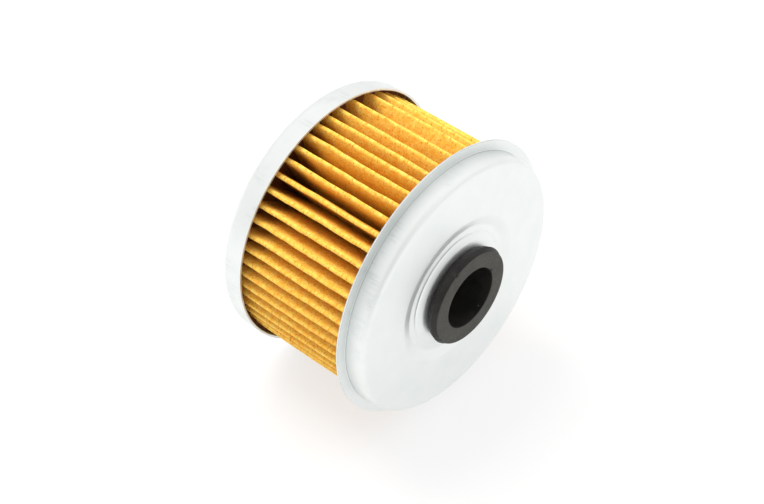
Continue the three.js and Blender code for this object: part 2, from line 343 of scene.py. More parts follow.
@dataclass(frozen=True)
class NitrileRubber(Finish):
    """Compression moulded NBR rubber, carbon black filled.

    It gives the eye a soft black with a fine moulded grain, a faint bloom and specks of dust, and a
    greyer face where it looks along +X.
    """

    name: str = "nitrile_rubber"
    black: str = "0C0B0B"
    bloom: str = "403F39"
    dust: str = "B8B4AB"
    grain_size: float = 0.4
    bloom_size: float = 3.5
    dust_spacing: float = 1.7
    front_greying: Ramp = Ramp(0.6, 0.95, 0.0, 0.6)  # from the sides to the face that looks along +X
    bloom_patches: Ramp = Ramp(0.35, 0.75, 0.05, 0.4)
    dust_radius: Ramp = Ramp(0.7, 1.0, 0.0, 0.07)  # in spacings
    roughness: Ramp = Ramp(0.3, 0.7, 0.48, 0.65)
    relief: Relief = Relief(0.35, 0.04)

    def material(self) -> bpy.types.Material:
        """Builds the shader's nodes.

        Returns:
            The material.
        """
        material, tree = self.start()
        place = add(tree, "TexCoord").outputs["Object"]
        grain_scale = per_metre(self.grain_size)[0]
        grain = add(tree, "TexNoise", {"Vector": place, "Scale": grain_scale, "Detail": 5.0})
        patch_scale = per_metre(self.bloom_size)[0]
        patch = add(tree, "TexNoise", {"Vector": place, "Scale": patch_scale, "Detail": 6.0})
        facing = add(tree, "SeparateXYZ", {0: add(tree, "NewGeometry").outputs["Normal"]})
        # Greyer on the face that looks along +X than on the sides.
        front_grey = add(tree, "MapRange", self.front_greying.of(facing.outputs["X"]))
        spread = add(tree, "MapRange", self.bloom_patches.of(patch.outputs[0]))
        bloomed = add(tree, "Math", {0: front_grey.outputs[0], 1: spread.outputs[0]}, operation="ADD")
        tones = {SHARE: bloomed.outputs[0], FIRST: linear(self.black), SECOND: linear(self.bloom)}
        body = add(tree, "Mix", tones, data_type="RGBA")
        specks = add(tree, "TexVoronoi", {"Vector": place, "Scale": per_metre(self.dust_spacing)[0]})
        rare = add(tree, "SeparateColor", {0: specks.outputs["Color"]})
        size = add(tree, "MapRange", self.dust_radius.of(rare.outputs[1]))
        reaches = {0: specks.outputs["Distance"], 1: size.outputs[0]}
        dusty = add(tree, "Math", reaches, operation="LESS_THAN")
        dusts = {SHARE: dusty.outputs[0], FIRST: body.outputs[MIXED], SECOND: linear(self.dust)}
        dust = add(tree, "Mix", dusts, data_type="RGBA")
        rough = add(tree, "MapRange", self.roughness.of(grain.outputs[0]))
        bump = add(tree, "Bump", self.relief.of(grain.outputs[0]))
        dressed = {"Base Color": dust.outputs[MIXED], "Roughness": rough.outputs[0]}
        self.close(tree, dressed | {"Normal": bump.outputs[0], "Specular IOR Level": 0.35})
        return material


@dataclass(frozen=True)
class FilterPaper(Finish):
    """Cellulose filter paper, soaked in phenolic resin and cured.

    It gives the eye a warm amber that glows where light comes through a fold, cloudy where the fibres
    lie thicker, with a fuzzy, finely pitted surface. Deep between the pleats a painted brown shadow
    darkens it towards the closed cap, standing in for the shade that this cap's rim casts.
    """

    name: str = "resin_cellulose_paper"
    thin: str = "FAD568"
    thick: str = "F5B846"
    resin: str = "C8741E"
    # The colour of the painted shadow that the closed cap's rim casts deep between the pleats, with its
    # place and reach below.
    soaked: str = "8F4A18"
    rim_shadow_from: float = -24.3
    rim_shadow_reach: float = 4.2
    rim_shadow_strength: float = 0.65
    rim_shadow_depth: Ramp = Ramp(21.5 * MM, 23.9 * MM, 1.0, 0.0)  # by the radius
    floc_size: float = 1.1
    pit_size: float = 0.36  # real pores are under a tenth of this, and drawn this coarse to show
    fibre: tuple[float, float] = (0.22, 1.6)
    fibre_leans: tuple[float, float] = (0.5, -0.8)  # in radians, the two main ways that fibres lie
    thickness: Ramp = Ramp(0.35, 0.68)
    pitting: Ramp = Ramp(0.54, 0.7, 0.0, 0.85)
    floc_height: float = 1.5
    relief: Relief = Relief(0.6, 0.12)
    glow_depth: float = 0.5

    def material(self) -> bpy.types.Material:
        """Builds the shader's nodes.

        Returns:
            The material.
        """
        material, tree = self.start()
        sheet = add(tree, "UVMap", uv_map="sheet").outputs[0]
        floc_scale, pit_scale = per_metre(self.floc_size, self.pit_size)
        floc = add(tree, "TexNoise", {"Vector": sheet, "Scale": floc_scale, "Detail": 4.0})
        pits = add(tree, "TexNoise", {"Vector": sheet, "Scale": pit_scale, "Detail": 3.0})
        strands = []
        wide, long = self.fibre
        for lean in self.fibre_leans:
            leaning = add(tree, "Mapping", {"Vector": sheet, "Rotation": (0.0, 0.0, lean)})
            stretch = {"Vector": leaning.outputs[0], "Scale": per_metre(long, wide, 1.0)}
            stretched = add(tree, "Mapping", stretch).outputs[0]
            strands.append(add(tree, "TexNoise", {"Vector": stretched, "Scale": 1.0, "Detail": 2.0}))
        crossed = {0: strands[0].outputs[0], 1: strands[1].outputs[0]}
        felt = add(tree, "Math", crossed, operation="MAXIMUM")
        cloud = add(tree, "MapRange", self.thickness.of(floc.outputs[0]))
        tones = {SHARE: cloud.outputs[0], FIRST: linear(self.thick), SECOND: linear(self.thin)}
        body = add(tree, "Mix", tones, data_type="RGBA")
        pitted = add(tree, "MapRange", self.pitting.of(pits.outputs[0]))
        resins = {SHARE: pitted.outputs[0], FIRST: body.outputs[MIXED], SECOND: linear(self.resin)}
        dyed = add(tree, "Mix", resins, data_type="RGBA")
        # Painted shadow of the closed cap's rim, deep in the valleys near that cap.
        rim_shadows = {SHARE: self.rim_shadow_share(tree), FIRST: dyed.outputs[MIXED], SECOND: linear(self.soaked)}
        rim_shaded = add(tree, "Mix", rim_shadows, data_type="RGBA")
        fuzz = add(tree, "Math", {0: felt.outputs[0], 1: pits.outputs[0]}, operation="ADD")
        heights = {0: floc.outputs[0], 1: self.floc_height, 2: fuzz.outputs[0]}
        height = add(tree, "Math", heights, operation="MULTIPLY_ADD")
        bump = add(tree, "Bump", self.relief.of(height.outputs[0]))
        glow = {
            "Subsurface Weight": 0.25,
            "Subsurface Radius": (1.0, 0.45, 0.08),
            "Subsurface Scale": self.glow_depth * MM,
        }
        matt = {"Roughness": 0.85, "Specular IOR Level": 0.25}
        dressed = {"Base Color": rim_shaded.outputs[MIXED], "Normal": bump.outputs[0]}
        self.close(tree, dressed | matt | glow)
        return material

    def rim_shadow_share(self, tree: bpy.types.NodeTree) -> bpy.types.NodeSocket:
        """How much painted shadow of the closed cap's rim lies on the paper, by the station and the
        radius.

        Args:
            tree: The material's node tree.

        Returns:
            The share of the painted shadow's colour.
        """
        place = add(tree, "SeparateXYZ", {0: add(tree, "TexCoord").outputs["Object"]})
        edge = FLANGE_X + self.rim_shadow_from * MM
        near = Ramp(edge, edge + self.rim_shadow_reach * MM, self.rim_shadow_strength, 0.0)
        close = add(tree, "MapRange", near.of(place.outputs["X"]), interpolation_type="SMOOTHSTEP")
        across = add(tree, "CombineXYZ", {"Y": place.outputs["Y"], "Z": place.outputs["Z"]})
        radius = add(tree, "VectorMath", {0: across.outputs[0]}, operation="LENGTH")
        deep = add(tree, "MapRange", self.rim_shadow_depth.of(radius.outputs["Value"]))
        both = add(tree, "Math", {0: close.outputs[0], 1: deep.outputs[0]}, operation="MULTIPLY")
        return both.outputs[0]


@dataclass(frozen=True)
class FibreFuzz(Finish):
    """Loose cellulose fibres that stand off the folds.

    They give the eye a pale broken halo along the crests.
    """

    name: str = "loose_fibres"
    pale: str = "F7DFA0"
    amber: str = "E9B45A"
    patch_size: float = 2.0

    def material(self) -> bpy.types.Material:
        """Builds the shader's nodes.

        Returns:
            The material.
        """
        material, tree = self.start()
        place = add(tree, "TexCoord").outputs["Object"]
        vary = add(tree, "TexNoise", {"Vector": place, "Scale": per_metre(self.patch_size)[0]})
        tones = {SHARE: vary.outputs[0], FIRST: linear(self.pale), SECOND: linear(self.amber)}
        tint = add(tree, "Mix", tones, data_type="RGBA")
        self.close(tree, {"Base Color": tint.outputs[MIXED], "Roughness": 0.8})
        return material


@dataclass(frozen=True)
class PlastisolAdhesive(Finish):
    """Heat cured plastisol, poured into the caps and set round the pleats.

    It gives the eye a brown, slightly glossy skin with small bubbles and a wavy surface.
    """

    name: str = "plastisol_adhesive"
    deep: str = "4A2A16"
    pale: str = "7B4A26"
    ripple_size: float = 2.2
    bubble_spacing: float = 1.4
    bubble_edges: Ramp = Ramp(0.12, 0.22)
    roughness: Ramp = Ramp(0.0, 1.0, 0.28, 0.48)
    relief: Relief = Relief(0.4, 0.08)

    def material(self) -> bpy.types.Material:
        """Builds the shader's nodes.

        Returns:
            The material.
        """
        material, tree = self.start()
        place = add(tree, "TexCoord").outputs["Object"]
        ripple_scale, bubble_scale = per_metre(self.ripple_size, self.bubble_spacing)
        ripple = add(tree, "TexNoise", {"Vector": place, "Scale": ripple_scale, "Detail": 3.0})
        tones = {SHARE: ripple.outputs[0], FIRST: linear(self.deep), SECOND: linear(self.pale)}
        tint = add(tree, "Mix", tones, data_type="RGBA")
        cells = add(tree, "TexVoronoi", {"Vector": place, "Scale": bubble_scale})
        bubble = add(tree, "MapRange", self.bubble_edges.of(cells.outputs["Distance"]))
        height = add(tree, "Math", {0: bubble.outputs[0], 1: ripple.outputs[0]}, operation="ADD")
        bump = add(tree, "Bump", self.relief.of(height.outputs[0]))
        rough = add(tree, "MapRange", self.roughness.of(ripple.outputs[0]))
        dressed = {"Base Color": tint.outputs[MIXED], "Roughness": rough.outputs[0]}
        self.close(tree, dressed | {"Normal": bump.outputs[0]})
        return material


# ---- Shaping ----

BEND_ROOM = 0.499  # just under half of a side, so that the bends at its two ends never meet
SHEET_BEND_STEPS = 6
SOLID_BEND_STEPS = 5
CUT_EDGE_POINTS = 8
CUT_EDGE_POWER = 0.5  # between a circle's, 1, and a square's, 0


@dataclass(frozen=True)
class Corner:
    """A corner of a section: its station, its radius, and how far its bend is rounded."""

    station: float
    radius: float
    bend: float = 0.0


@dataclass(frozen=True)
class Dent:
    """A shallow dent in a turned piece, or a bump where its depth is below 0.

    Its place is an angle in degrees and a radius, and its width is where it has mostly faded.
    """

    degrees: float
    radius: float
    width: float
    depth: float


def rounded(points: np.ndarray, bends: Sequence[float], steps: int, closed: bool) -> np.ndarray:
    """Rounds the corners of a flat line.

    Args:
        points: The corners, one row of two numbers each.
        bends: Each corner's radius, 0 where it stays sharp.
        steps: How many chords make each arc.
        closed: Whether the last corner joins the first.

    Returns:
        The line's points.
    """
    line = []
    count = len(points)
    for i, (here, bend) in enumerate(zip(points, bends)):
        if bend <= 0 or (not closed and i in (0, count - 1)):
            line.append(here)
            continue
        back, on = points[i - 1] - here, points[(i + 1) % count] - here
        room = BEND_ROOM * min(np.linalg.norm(back), np.linalg.norm(on))
        back, on = back / np.linalg.norm(back), on / np.linalg.norm(on)
        half = 0.5 * math.acos(float(np.clip(back @ on, -1, 1)))
        reach = min(bend / math.tan(half), room)
        radius = reach * math.tan(half)
        middle = (back + on) / np.linalg.norm(back + on)
        centre = here + middle * radius / math.sin(half)
        first, last = here + back * reach - centre, here + on * reach - centre
        sweep = math.pi - 2 * half
        for step in range(steps + 1):
            share = step / steps
            arc = math.sin((1 - share) * sweep) * first + math.sin(share * sweep) * last
            line.append(centre + arc / math.sin(sweep))
    return np.array(line)


def evened(line: np.ndarray, longest: float, closed: bool = False) -> np.ndarray:
    """Splits a line's long stretches, so that no step is over the longest.

    Args:
        line: The line's points.
        longest: The longest step.
        closed: Whether the last point joins the first.

    Returns:
        The points of the split line.
    """
    ends = np.roll(line, -1, axis=0) if closed else line[1:]
    points = []
    for start, end in zip(line, ends):
        parts = max(1, math.ceil(np.linalg.norm(end - start) / longest))
        points.extend(start + (end - start) * part / parts for part in range(parts))
    if not closed:
        points.append(line[-1])
    return np.array(points)


def offset(line: np.ndarray, distance: float) -> np.ndarray:
    """Moves an open flat line sideways, to its left where the distance is positive.

    Args:
        line: The line's points.
        distance: How far it moves.

    Returns:
        The moved points.
    """
    steps = np.diff(line, axis=0)
    steps /= np.linalg.norm(steps, axis=1)[:, None]
    sides = np.column_stack([-steps[:, 1], steps[:, 0]])
    before, after = np.vstack([sides[:1], sides]), np.vstack([sides, sides[-1:]])
    mean = before + after
    return line + distance * 2 * mean / (mean**2).sum(axis=1)[:, None]


def outline(corners: Sequence[Corner], steps: int, longest: float, closed: bool) -> np.ndarray:
    """The line through some corners, with its bends rounded and its long stretches split.

    Args:
        corners: The corners.
        steps: How many chords make each bend.
        longest: The longest step.
        closed: Whether the last corner joins the first.

    Returns:
        Rows of station and radius.
    """
    bare = np.array([[c.station, c.radius] for c in corners])
    return evened(rounded(bare, [c.bend for c in corners], steps, closed), longest, closed)


def sheet_section(
    corners: Sequence[Corner], thickness: float, inside: int, step: float = 0.6
) -> np.ndarray:
    """The closed section of a pressed sheet, with its two cut edges eased.

    Args:
        corners: The outer face's corners, from one edge to the other.
        thickness: The sheet's thickness.
        inside: 1 where the sheet's other face is to the left of the corners' run, -1 to the right.
        step: The longest step between two points.

    Returns:
        Rows of station and radius.
    """
    outer = outline(corners, SHEET_BEND_STEPS, step, False)
    inner = offset(outer, inside * thickness)
    ends = []
    for face, back, near in ((outer[-1], inner[-1], outer[-2]), (inner[0], outer[0], inner[1])):
        centre, across = (face + back) / 2, (face - back) / 2
        out = (face - near) / np.linalg.norm(face - near) * thickness / 2
        for angle in np.linspace(0, math.pi, CUT_EDGE_POINTS)[1:-1]:
            c, s = math.cos(angle), math.sin(angle)
            sideways = across * math.copysign(abs(c) ** CUT_EDGE_POWER, c)
            ends.append(centre + sideways + out * (s**CUT_EDGE_POWER - 1))
    half = len(ends) // 2
    return np.vstack([outer, ends[:half], inner[::-1], ends[half:]])


def mesh_object(
    name: str, points: np.ndarray, faces: Sequence[Sequence[int]], sharp: float
) -> bpy.types.Object:
    """Makes a mesh object with smooth faces.

    Args:
        name: The piece's name.
        points: Rows of X, Y and Z in metres.
        faces: Each face's point numbers.
        sharp: The angle in degrees past which an edge stays sharp.

    Returns:
        The object, linked to the scene.
    """
    mesh = bpy.data.meshes.new(name)
    mesh.from_pydata(points.tolist(), [], faces)
    mesh.validate()
    mesh.shade_smooth()
    mesh.set_sharp_from_angle(angle=math.radians(sharp))
    piece = bpy.data.objects.new(name, mesh)
    bpy.context.scene.collection.objects.link(piece)
    return piece


def grid_faces(rows: int, columns: int, close_rows: bool, close_columns: bool) -> list[tuple[int, ...]]:
    """The four-sided faces over a grid of points numbered row by row.

    Args:
        rows: How many rows it has.
        columns: How many points a row has.
        close_rows: Whether the last row joins the first.
        close_columns: Whether each row's ends join.

    Returns:
        Each face's point numbers.
    """
    faces = []
    for i in range(rows if close_rows else rows - 1):
        for j in range(columns if close_columns else columns - 1):
            a, b = i * columns, (i + 1) % rows * columns
            k = (j + 1) % columns
            faces.append((a + j, b + j, b + k, a + k))
    return faces


def polar(station: np.ndarray, radius: np.ndarray, angle: np.ndarray) -> np.ndarray:
    """Points in metres from stations and radii in millimetres and angles from the top towards -Y.

    Args:
        station: The points' stations.
        radius: Their radii.
        angle: Their angles, in radians.

    Returns:
        Their X, Y and Z along the last axis.
    """
    station, radius, angle = np.broadcast_arrays(station, radius, angle)
    across, up = -radius * np.sin(angle) * MM, radius * np.cos(angle) * MM
    return np.stack([FLANGE_X + station * MM, across, up], axis=-1)


def turned(name: str, section: np.ndarray, segments: int, sharp: float = 40.0) -> bpy.types.Object:
    """Turns a section about the filter's axis.

    Args:
        name: The piece's name.
        section: Rows of station and radius, closed on itself, or from the axis back to the axis.
        segments: How many steps make the circle.
        sharp: The angle in degrees past which an edge stays sharp.

    Returns:
        The object.
    """
    area = sum(a[0] * b[1] - b[0] * a[1] for a, b in zip(section, np.roll(section, -1, axis=0)))
    if area < 0:
        section = section[::-1]
    on_axis = section[0][1] < TOUCHING or section[-1][1] < TOUCHING
    angles = np.arange(segments)[:, None] * TURN / segments
    points = polar(section[None, :, 0], section[None, :, 1], angles)
    faces = grid_faces(segments, len(section), True, not on_axis)
    piece = mesh_object(name, points.reshape(-1, 3), faces, sharp)
    if on_axis:
        weld(piece)
    return piece


def weld(piece: bpy.types.Object) -> None:
    """Merges the points of a piece that lie on each other, such as those on the axis.

    Args:
        piece: The piece.
    """
    modifier = piece.modifiers.new("weld", "WELD")
    modifier.merge_threshold = TOUCHING
    settle(piece)


def settle(piece: bpy.types.Object) -> None:
    """Applies a piece's modifiers to its mesh.

    Args:
        piece: The piece.
    """
    seen = piece.evaluated_get(bpy.context.evaluated_depsgraph_get())
    mesh = bpy.data.meshes.new_from_object(seen)
    piece.modifiers.clear()
    piece.data = mesh


def cut(piece: bpy.types.Object, outlines: Sequence[np.ndarray], travel: Sequence[np.ndarray]) -> None:
    """Cuts holes through a piece.

    Args:
        piece: The piece to cut.
        outlines: Each hole's outline, in metres.
        travel: How far each outline is pushed through the piece, in metres.
    """
    points, faces = [], []
    for around, push in zip(outlines, travel):
        start, count = len(points), len(around)
        points.extend(around)
        points.extend(around + push)
        faces.append(tuple(range(start, start + count))[::-1])
        faces.append(tuple(range(start + count, start + 2 * count)))
        for i in range(count):
            k = (i + 1) % count
            faces.append((start + i, start + k, start + count + k, start + count + i))
    cutter = mesh_object("cutter", np.array(points), faces, sharp=30)
    modifier = piece.modifiers.new("cut", "BOOLEAN")
    modifier.operation = "DIFFERENCE"
    modifier.solver = "EXACT"
    modifier.object = cutter
    settle(piece)
    bpy.data.objects.remove(cutter)


def press_dents(piece: bpy.types.Object, station: float, dents: Sequence[Dent]) -> None:
    """Presses shallow dents into a piece, centred at one station.

    Args:
        piece: The piece.
        station: The dents' station.
        dents: The dents.
    """
    count = len(piece.data.vertices)
    places, normals = np.empty(count * 3), np.empty(count * 3)
    piece.data.vertices.foreach_get("co", places)
    piece.data.vertices.foreach_get("normal", normals)
    places, normals = places.reshape(-1, 3), normals.reshape(-1, 3)
    depth = np.zeros(count)
    for dent in dents:
        centre = polar(station, dent.radius, math.radians(dent.degrees))
        away = np.linalg.norm(places - centre, axis=1) / (dent.width * MM)
        depth += dent.depth * np.exp(-(away**2))
    piece.data.vertices.foreach_set("co", (places - normals * depth[:, None] * MM).ravel())
    piece.data.update()


def install(
    piece: bpy.types.Object, material: bpy.types.Material, slot: Slot, body: Body, *nodes: str
) -> None:
    """Dresses a piece and ties it to the frame.

    Args:
        piece: The finished piece.
        material: Its material.
        slot: The record's slot that the material stands for; not used.
        body: The body it rides on.
        nodes: The CAD nodes it stands for.
    """
    piece.data.materials.clear()
    piece.data.materials.append(material)
    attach(piece, body.value)
    if nodes:
        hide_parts(*nodes)
    LOG.info("%s: %d faces, on %s", piece.name, len(piece.data.polygons), body.value)


# ---- Pressed caps ----


@dataclass
class OutletCap:
    """The flanged cap at the outlet, with the raised cone that holds the grommet."""

    face: float = 4.35
    corners: tuple[Corner, ...] = (
        Corner(5.3, 7.5),  # the hole's edge, at the cone's top
        Corner(4.66, 9.9, 2.0),
        Corner(4.11, 11.15),  # the sharp mark that the punch leaves round the cone's foot
        Corner(4.02, 11.25, 0.03),
        Corner(4.04, 11.35),
        Corner(3.7, 12.45, 1.0),  # the groove's floor
        Corner(face, 14.45, 2.2),  # the groove's outer edge
        Corner(face, 24.95, 1.05),  # the shoulder
        Corner(SHEET, 25.2, 0.14),  # the wall's foot
        Corner(SHEET, FLANGE_RADIUS),
    )
    segments: int = 384
    dents: tuple[Dent, ...] = (
        Dent(58, 24.75, 0.5, 0.05),
        Dent(76, 24.7, 0.6, 0.05),
        Dent(101, 20.6, 0.35, 0.03),
        Dent(96, 15.6, 0.4, 0.03),
    )

    def build(self, plate: bpy.types.Material) -> None:
        """Makes the cap.

        Args:
            plate: The plated steel.
        """
        cap = turned("outlet_cap_shell", sheet_section(self.corners, SHEET, 1), self.segments, sharp=60)
        press_dents(cap, self.face, self.dents)
        install(cap, plate, Slot.PLATED, Body.FILTER, "outlet_end_cap")


@dataclass
class ClosedCap:
    """The cup at the closed end, with the bypass valve's ports in its recess."""

    face: float = -29.0
    floor: float = -27.6
    corners: tuple[Corner, ...] = (
        Corner(floor, 1.7),  # the stem's hole
        Corner(floor, 11.6, 0.5),  # the recess
        Corner(face, 14.3, 1.6),
        Corner(face, 25.6, 1.6),  # the shoulder
        Corner(-24.3, 25.6),  # the rim
    )
    port_radius: float = 1.5
    port_circle: float = 6.2
    port_steps: int = 32
    ports: int = 6
    punch_start: float = 2 * SHEET  # behind the recess's floor
    punch_travel: float = 4 * SHEET
    segments: int = 320

    def build(self, plate: bpy.types.Material) -> None:
        """Makes the cap and pierces its ports.

        Args:
            plate: The plated steel.
        """
        cap = turned("closed_cap_shell", sheet_section(self.corners, SHEET, -1), self.segments, sharp=60)
        around = np.linspace(0, TURN, self.port_steps, endpoint=False)
        ring = np.stack([0 * around, np.cos(around), np.sin(around)], axis=-1)
        outlines = []
        for port in range(self.ports):
            centre = polar(self.floor - self.punch_start, self.port_circle, port * TURN / self.ports)
            outlines.append(centre + self.port_radius * MM * ring)
        cut(cap, outlines, [AXIS * self.punch_travel * MM] * self.ports)
        install(cap, plate, Slot.PLATED, Body.FILTER, "closed_end_cap")


# ---- Grommet ----


@dataclass
class Grommet:
    """The rubber outlet grommet: a flange outside the cap, a groove on its edge and a lip inside."""

    front: float = 7.3
    bore: float = 5.98
    corners: tuple[Corner, ...] = (
        Corner(front, bore, 0.12),
        Corner(front, 9.15, 0.14),
        Corner(6.47, 9.5),  # the mould's parting line, a fine rib
        Corner(6.35, 9.62, 0.05),
        Corner(6.21, 9.52),
        Corner(5.47, 9.3, 0.15),  # the flange's base, on the cap
        Corner(5.47, 7.25),  # the groove that holds the cap's edge
        Corner(4.9, 7.25),
        Corner(4.324, 8.85, 0.3),  # the lip, slanted like the cone in front of it
        Corner(1.5, 8.45, 0.6),
        Corner(0.9, 7.65, 0.5),
        Corner(0.9, bore, 0.4),
    )
    longest: float = 0.45
    off_centre: tuple[float, float] = (-0.17, -0.16)  # a soft ring never sits quite true
    segments: int = 256
    nibs: tuple[Dent, ...] = (  # of flash that the mould left
        Dent(26, 9.2, 0.5, -0.3),
        Dent(-63, 5.95, 0.45, -0.25),
        Dent(118, 9.2, 0.35, -0.14),
    )

    def build(self, rubber: bpy.types.Material) -> None:
        """Makes the grommet.

        Args:
            rubber: The rubber.
        """
        section = outline(self.corners, SOLID_BEND_STEPS, self.longest, True)
        piece = turned("rubber_grommet", section, self.segments, sharp=45)
        press_dents(piece, self.front, self.nibs)
        across, up = self.off_centre
        piece.data.transform(Matrix.Translation((0, across * MM, up * MM)))
        install(piece, rubber, Slot.RUBBER, Body.FILTER, "outlet_grommet")


# ---- Pleated paper ----


@dataclass(frozen=True)
class Stretch:
    """A stretch of the pack whose pleats stand further apart, in degrees."""

    at: float
    width: float
    extra: float

    def at_angle(self, degrees: float) -> float:
        """The extra pitch at an angle.

        Args:
            degrees: The angle.

        Returns:
            The extra pitch, in degrees.
        """
        away = (degrees - self.at + 180) % 360 - 180
        return self.extra * math.exp(-((away / self.width) ** 2))


@dataclass(frozen=True)
class Wave:
    """A smooth random wave along the axis, its own for each fold."""

    amount: float
    length: float
    apart: float  # how far from each other two folds read the noise
    level: float

    def at(self, fold: int, station: float) -> float:
        """The wave's height on a fold at a station."""
        return self.amount * noise.noise(Vector((fold * self.apart, station / self.length, self.level)))


@dataclass
class PaperPack:
    """The pleated ring of paper."""

    pleats: int = 52
    crest: float = 24.2
    root: float = 12.5
    thickness: float = 0.42
    fold: float = 0.2
    root_fold: float = 0.12
    fold_bend: float = 0.98  # of half a fold's width
    fold_steps: int = 3
    front: float = 2.6
    rear: float = -27.0
    first_crest: float = -38.7
    pitch: float = 6.7
    ripple: float = 0.62
    ripple_waves: int = 4
    ripple_start: float = 20.5
    spread: Stretch = Stretch(-13.9, 8.9, 9)
    seam: Stretch = Stretch(205, 8, 3.2)
    seam_top: float = 23.15
    rows: int = 52
    wall_step: float = 1.9
    lean: float = 0.08
    lean_power: float = 1.5
    bow: float = 0.2
    tall: tuple[float, float] = (-0.12, 0.1)
    barrel: float = 0.12  # how much taller the pleats stand half way along
    wander: Wave = Wave(0.2, 9, 5.1, 0.3)
    flutter: Wave = Wave(0.09, 2.6, 3.7, 7.1)
    swell: Wave = Wave(0.5, 8, 2.3, 4.2)
    back_shift: float = 1.37  # in sheet widths, to where the map of the paper's inner face starts
    seed: int = 11
    crests: list[float] = field(default_factory=list)

    def __post_init__(self) -> None:
        """Steps the crests off by the pitch, and scales them a little to close the circle."""
        steps = [0.0]
        for i in range(self.pleats):
            angle = self.first_crest + steps[i]
            steps.append(steps[i] + self.pitch_at(angle + self.pitch_at(angle) / 2))
        self.crests = [self.first_crest + step * 360 / steps[-1] for step in steps[:-1]]

    def pitch_at(self, degrees: float) -> float:
        """The pleats' pitch at an angle, in degrees.

        Args:
            degrees: The angle.

        Returns:
            The pitch.
        """
        ripple = self.ripple * math.sin(math.radians(self.ripple_waves * (degrees - self.ripple_start)))
        return self.pitch + ripple + self.spread.at_angle(degrees) + self.seam.at_angle(degrees)

    def seam_pleat(self) -> int:
        """The number of the pleat that the clip sits on."""
        return min(range(self.pleats), key=lambda i: abs(self.crests[i] - self.seam.at))

    def valley_after(self, pleat: int) -> float:
        """The angle of the valley after a crest, in degrees.

        Args:
            pleat: The crest's number.

        Returns:
            The angle.
        """
        last = pleat + 1 == self.pleats
        following = self.crests[0] + 360 if last else self.crests[pleat + 1]
        return (self.crests[pleat] + following) / 2

    def fold_line(self) -> tuple[np.ndarray, np.ndarray]:
        """The middle of the folded sheet, seen along the axis.

        Returns:
            Rows of two numbers, up and across, in millimetres, and the wall that each point is on.
        """
        corners, bends = [], []
        for pleat, crest in enumerate(self.crests):
            top = self.seam_top if pleat == self.seam_pleat() else self.crest
            valley = self.valley_after(pleat)
            for degrees, radius, half in ((crest, top, self.fold), (valley, self.root, self.root_fold)):
                c, s = math.cos(math.radians(degrees)), math.sin(math.radians(degrees))
                up, side = np.array([c, -s]), np.array([-s, -c])
                corners.extend((up * radius - side * half, up * radius + side * half))
                bends.extend([half * self.fold_bend] * 2)
        line = rounded(np.array(corners), bends, self.fold_steps, True)
        line = evened(line, self.wall_step, closed=True)
        angles = np.degrees(np.arctan2(-line[:, 1], line[:, 0]))
        away = (angles[:, None] - np.array(self.crests)[None, :] + 180) % 360 - 180
        nearest = np.abs(away).argmin(axis=1)
        side = away[np.arange(len(line)), nearest] > 0
        return line, nearest * 2 + side

    def middle(self) -> np.ndarray:
        """The middle surface as a grid: round the ring, then along the axis.

        Returns:
            The grid's points, in metres.
        """
        draw = np.random.default_rng(self.seed)
        line, wall = self.fold_line()
        pleat = wall // 2
        radius = np.linalg.norm(line, axis=1)
        share = np.clip((radius - self.root) / (self.crest - self.root), 0, 1)
        angle = np.arctan2(-line[:, 1], line[:, 0])
        lean = draw.uniform(-self.lean, self.lean, self.pleats)
        bow = draw.uniform(-self.bow, self.bow, self.pleats * 2)
        tall = draw.uniform(*self.tall, self.pleats)
        gap = np.radians([self.valley_after(i) - c for i, c in enumerate(self.crests)]) * self.crest
        room = np.repeat(gap, 2) / gap.mean()
        sheet = np.empty((len(line), self.rows, 3))
        for row, station in enumerate(np.linspace(self.rear, self.front, self.rows)):
            drift = np.array([self.wander.at(i, station) for i in range(self.pleats)])
            drift += [self.flutter.at(i, station) for i in range(self.pleats)]
            swell = [1 + self.swell.at(i, station) for i in range(self.pleats * 2)]
            aside = (lean + drift)[pleat] * share**self.lean_power
            aside += (bow * room * np.array(swell))[wall] * np.sin(np.pi * share)
            along = (station - self.rear) / (self.front - self.rear)
            grown = tall[pleat] * share + self.barrel * math.sin(math.pi * along) * share
            sheet[:, row] = polar(station, radius + grown, angle + aside / np.maximum(radius, 1))
        return sheet

    def build(self, paper: bpy.types.Material) -> np.ndarray:
        """Makes the folded sheet.

        Args:
            paper: The paper's material.

        Returns:
            The sheet's middle surface, as a grid.
        """
        middle = self.middle()
        around = np.roll(middle, -1, axis=0) - np.roll(middle, 1, axis=0)
        along = np.gradient(middle, axis=1)
        normal = np.cross(along, around)
        normal /= np.linalg.norm(normal, axis=2)[:, :, None]
        outer = middle - normal * self.thickness / 2 * MM
        inner = middle + normal * self.thickness / 2 * MM
        loop = np.concatenate([outer, inner[:, ::-1]], axis=1)
        faces = grid_faces(len(loop), loop.shape[1], True, True)
        piece = mesh_object("folded_paper", loop.reshape(-1, 3), faces, sharp=80)
        lengths = np.linalg.norm(np.diff(middle[:, 0], axis=0, append=middle[:1, 0]), axis=1)
        developed = np.concatenate([[0], np.cumsum(lengths)])
        self.lay_out(piece, developed, loop.shape[1])
        install(piece, paper, Slot.PAPER, Body.FILTER, "pleated_paper")
        return middle

    def lay_out(self, piece: bpy.types.Object, developed: np.ndarray, columns: int) -> None:
        """Gives the paper a map of the flat sheet, in metres.

        Args:
            piece: The folded sheet.
            developed: How far along the flat sheet each row of the grid lies.
            columns: How many points a row has, down one face and back up the other.
        """
        rows = len(developed) - 1
        length = (self.front - self.rear) * MM
        heights = np.linspace(0, length, columns // 2)
        heights = np.concatenate([heights, heights[::-1] + self.back_shift * length])
        layer = piece.data.uv_layers.new(name="sheet")
        mapped = np.empty((rows * columns * 4, 2))
        index = 0
        for i in range(rows):
            for j in range(columns):
                k = (j + 1) % columns
                for row, column in ((i, j), (i + 1, j), (i + 1, k), (i, k)):
                    mapped[index] = developed[row], heights[column]
                    index += 1
        layer.data.foreach_set("uv", mapped.ravel())


